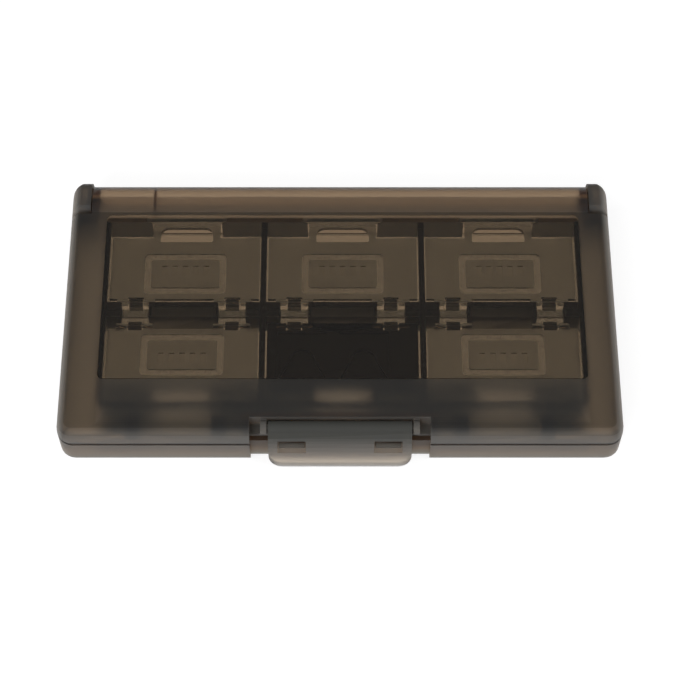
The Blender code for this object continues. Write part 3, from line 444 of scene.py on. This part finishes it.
def tray_frost(centre, normal):
    """How deep the texture is on a face of the tray."""
    if on_rear_top(centre):
        return 1.0
    if abs(centre.y - MIDDLE_Y) < CLIP_END and CLIP_LOW < centre.z < TRAY_TOP - 2 * SLACK:
        return CLIP_DEPTH
    if normal.z < -LEVEL and centre.z < UNDERSIDE and centre.y < SPARKED_BEFORE_Y:
        return 0.0 if any(abs(centre.x - place) < PATCH_HALF for place in COLUMNS_X) else 1.0
    if abs(normal.z) > SLANTED:
        return 0.0
    if centre.y > TRAY_REAR_Y and normal.y > SLANTED:
        return REAR_DEPTH
    return RIB_DEPTH if normal.y < -SLANTED and abs(centre.y) < RIB_HALF else 0.0


def tray_glow(centre, normal):
    """How much a face of the tray glows: the top of its rear wall, which gathers light from the open bay."""
    return REAR_GLOW if normal.z > LEVEL and on_rear_top(centre) else 0.0


patch_sides = [("X", place + side * PATCH_HALF) for place in COLUMNS_X for side in (-1, 1)]
tray = moulded("card_tray", patch_sides + [("Y", SPARKED_BEFORE_Y)])
mark(tray, "frost", tray_frost)
mark(tray, "glow", tray_glow)
take_place(tray, "card_tray", "base", smoked_clear)

# %% [markdown]
# The five clear flaps come out of one tool, so they are one shape in five places. That is work for Geometry
# Nodes: one flap is rounded, moved so that its hinge lies at the origin, and set at each hinge by a small tree
# that is given the hinge, the turn and the material. The flaps of the front row are the same part turned half
# round. Each flap swings on its own, so each place gives a mesh of its own.

# %% The tree that sets a flap at its hinge
def make_flap_tree():
    """A node tree that puts its mesh at a place with a turn about Z, and gives it a material."""
    tree = bpy.data.node_groups.new("set a flap at its hinge", "GeometryNodeTree")
    for name, kind in (("Flap", "Geometry"), ("Hinge", "Vector"), ("Turn", "Float"), ("Finish", "Material")):
        tree.interface.new_socket(name, in_out="INPUT", socket_type="NodeSocket" + kind)
    tree.interface.new_socket("Flap", in_out="OUTPUT", socket_type="NodeSocketGeometry")
    given = add_node(tree, "NodeGroupInput").outputs
    point = add_node(tree, "GeometryNodePoints", {"Count": 1}, {"Position": given["Hinge"]})
    turn = add_node(tree, "ShaderNodeCombineXYZ", None, {"Z": given["Turn"]})
    turned = add_node(tree, "FunctionNodeEulerToRotation", None, {0: turn.outputs[0]})
    put = add_node(tree, "GeometryNodeInstanceOnPoints", None, {
        "Points": point.outputs[0], "Instance": given["Flap"], "Rotation": turned.outputs[0]})
    real = add_node(tree, "GeometryNodeRealizeInstances", None, {"Geometry": put.outputs[0]})
    done = add_node(tree, "GeometryNodeSetMaterial", None, {
        "Geometry": real.outputs[0], "Material": given["Finish"]})
    add_node(tree, "NodeGroupOutput", None, {"Flap": done.outputs[0]})
    return tree


flap_tree = make_flap_tree()
flap_inputs = {item.name: item.identifier for item in flap_tree.interface.items_tree if item.in_out == "INPUT"}
print("inputs:", flap_inputs)

# %% [markdown]
# The plates are sparked very lightly. The emblem is sunk in them, a plain outline of a card with contact bars: its
# border is polished, so it stands out lighter, and its bars are sparked a little deeper.

# %% Set the flaps
PLATE_DEPTH, BAR_DEPTH, EMBLEM_LEVEL = 0.12, 0.25, 0.2 * MM
BARS_HALF, BARS_Y = 6.0 * MM, (5.2 * MM, 9.8 * MM)


def flap_frost(centre, normal):
    """How deep the texture is on a face of a flap: deeper in the emblem's bars, and none in its border."""
    if normal.z < LEVEL:
        return 0.0
    if centre.z > EMBLEM_LEVEL:
        return PLATE_DEPTH
    return BAR_DEPTH if abs(centre.x) < BARS_HALF and BARS_Y[0] < centre.y < BARS_Y[1] else 0.0


pattern = moulded("flap_rear_left")
pattern.data.transform(Matrix.Translation(-hinge_place["flap_rear_left"]))
mark(pattern, "frost", flap_frost)
for node, turn in (
    ("flap_rear_left", 0.0), ("flap_rear_middle", 0.0), ("flap_rear_right", 0.0),
    ("flap_front_left", math.pi), ("flap_front_right", math.pi),
):
    flap = bpy.data.objects.new(node + "_set", pattern.data.copy())
    bpy.context.scene.collection.objects.link(flap)
    setter = flap.modifiers.new("set at its hinge", "NODES")
    setter.node_group = flap_tree
    setter[flap_inputs["Hinge"]] = hinge_place[node]
    setter[flap_inputs["Turn"]] = turn
    setter[flap_inputs["Finish"]] = smoked_clear
    graph = bpy.context.evaluated_depsgraph_get()
    mesh = bpy.data.meshes.new_from_object(flap.evaluated_get(graph))
    flap.modifiers.clear()
    flap.data = mesh
    take_place(flap, node, node)
    at = [round(value / MM, 1) for value in hinge_place[node]]
    print(node, len(mesh.polygons), "triangles at", at, "mm")
bpy.data.objects.remove(pattern)

# %% [markdown]
# The sixth flap holds small cards and is the one opaque piece: black ABS with a satin face. Its sheen is a little
# uneven, as on any dark moulding, where the plastic flowed round the two pockets. The flow marks are a few
# millimetres wide and shift the roughness only.

# %% The black holder
FLOW_MARK = 4.0 * MM
SATIN_FROM, SATIN_TO = 0.26, 0.42
HOLDER_EDGE_RADIUS = 0.3 * MM
black = bpy.data.materials.new("satin black ABS")
black.use_nodes = True
tree = black.node_tree
place = add_node(tree, "ShaderNodeTexCoord").outputs["Object"]
flow = add_node(tree, "ShaderNodeTexNoise", {"Scale": 1 / FLOW_MARK, "Detail": 2.0}, {"Vector": place})
satin = add_node(tree, "ShaderNodeMapRange", {"To Min": SATIN_FROM, "To Max": SATIN_TO}, {
    "Value": flow.outputs[0]})
surface = tree.nodes["Principled BSDF"]
surface.inputs["Base Color"].default_value = linear("070B08")
tree.links.new(satin.outputs[0], surface.inputs["Roughness"])
holder = moulded("small_card_holder", radius=HOLDER_EDGE_RADIUS)
take_place(holder, "small_card_holder", "small_card_holder", black)

# %% [markdown]
# The case lies on white paper that bends up behind it, as in a small product studio. Clear and frosted plastic
# show whatever is round them, so the paper is plain white for rays that come by reflection or through the
# plastic. The camera sees it a little less bright, with the lamps' light on top, so that the shadow stays.

# %% The white paper
DROP = 0.05 * MM
PAPER_HALF = 3.0
PAPER_GREY, SEEN_STRENGTH = "A0A0A0", 0.75
PROFILE = ((-3.0, 0.0), (0.45, 0.0), (0.55, 0.015), (0.65, 0.06), (0.72, 0.13), (0.76, 0.22), (0.78, 0.34))
sheet = bpy.data.meshes.new("white paper")
corners = [(x, y, z - DROP) for y, z in PROFILE for x in (-PAPER_HALF, PAPER_HALF)]
strips = [(2 * step, 2 * step + 1, 2 * step + 3, 2 * step + 2) for step in range(len(PROFILE) - 1)]
sheet.from_pydata(corners, [], strips)
floor = bpy.data.objects.new("floor", sheet)
bpy.context.scene.collection.objects.link(floor)
paper = bpy.data.materials.new("white studio paper")
paper.use_nodes = True
tree = paper.node_tree
tree.nodes.clear()
ray = add_node(tree, "ShaderNodeLightPath").outputs
mirrored = add_node(tree, "ShaderNodeMath", {"operation": "MAXIMUM"}, {
    0: ray["Is Glossy Ray"], 1: ray["Is Transmission Ray"]})
direct = add_node(tree, "ShaderNodeMath", {"operation": "MULTIPLY", 1: SEEN_STRENGTH}, {
    0: ray["Is Camera Ray"]})
strength = add_node(tree, "ShaderNodeMath", {"operation": "MAXIMUM"}, {
    0: mirrored.outputs[0], 1: direct.outputs[0]})
white = add_node(tree, "ShaderNodeEmission", {"Color": linear("FFFFFF")}, {"Strength": strength.outputs[0]})
matt = add_node(tree, "ShaderNodeBsdfDiffuse", {"Color": linear(PAPER_GREY)})
both = add_node(tree, "ShaderNodeAddShader", None, {0: white.outputs[0], 1: matt.outputs[0]})
add_node(tree, "ShaderNodeOutputMaterial", None, {"Surface": both.outputs[0]})
sheet.materials.append(paper)
print("the paper is", 2 * PAPER_HALF, "m wide, in", len(strips), "strips")

# %% [markdown]
# Soft light comes from a large box in front and a smaller one on each side, over an even grey world. None stands
# where the lid's flat top would mirror it into the camera.

# %% World and lamps
WORLD_STRENGTH = 0.28
world = bpy.data.worlds.new("studio")
bpy.context.scene.world = world
world.use_nodes = True
world.node_tree.nodes["Background"].inputs["Strength"].default_value = WORLD_STRENGTH
world.node_tree.nodes["Background"].inputs["Color"].default_value = linear("FFFFFF")


def softbox(name, place, size, power):
    """A rectangular lamp that faces the case, with its place and size in metres and its power in watts."""
    lamp = bpy.data.lights.new(name, "AREA")
    lamp.shape = "RECTANGLE"
    lamp.size, lamp.size_y = size
    lamp.energy = power
    stand = bpy.data.objects.new(name, lamp)
    bpy.context.scene.collection.objects.link(stand)
    stand.location = place
    stand.rotation_euler = (-Vector(place)).to_track_quat("-Z", "Y").to_euler()
    print(name, power, "W,", round(Vector(place).length, 2), "m away")


softbox("front softbox", (-0.25, -0.75, 0.55), (0.6, 0.4), 5.2)
softbox("right softbox", (0.7, -0.1, 0.5), (0.4, 0.5), 3.4)
softbox("left softbox", (-0.7, -0.1, 0.5), (0.4, 0.5), 2.6)

# %% [markdown]
# The camera looks down at 62 degrees from in front. Its distance and lens were worked out from the photograph, by
# fitting the case's four corners.

# %% Camera
CAMERA_DOWN = math.radians(62)
CAMERA_PLACE = (0, -215.625 * MM, 401.6 * MM)
FOCAL_SHARE = 1956.7 / 680  # the focal length over the picture's width, both in pixels
SENSOR, NEAREST = 36, 0.01
camera_data = bpy.data.cameras.new("camera")
camera_data.sensor_width = SENSOR
camera_data.lens = FOCAL_SHARE * SENSOR
camera_data.clip_start = NEAREST
camera = bpy.data.objects.new("camera", camera_data)
bpy.context.scene.collection.objects.link(camera)
camera.location = CAMERA_PLACE
camera.rotation_euler = (math.pi / 2 - CAMERA_DOWN, 0, 0)
bpy.context.scene.camera = camera
bpy.context.scene.view_settings.view_transform = "Standard"
print("lens", round(camera_data.lens, 1), "mm,", round(Vector(CAMERA_PLACE).length / MM), "mm from the middle")
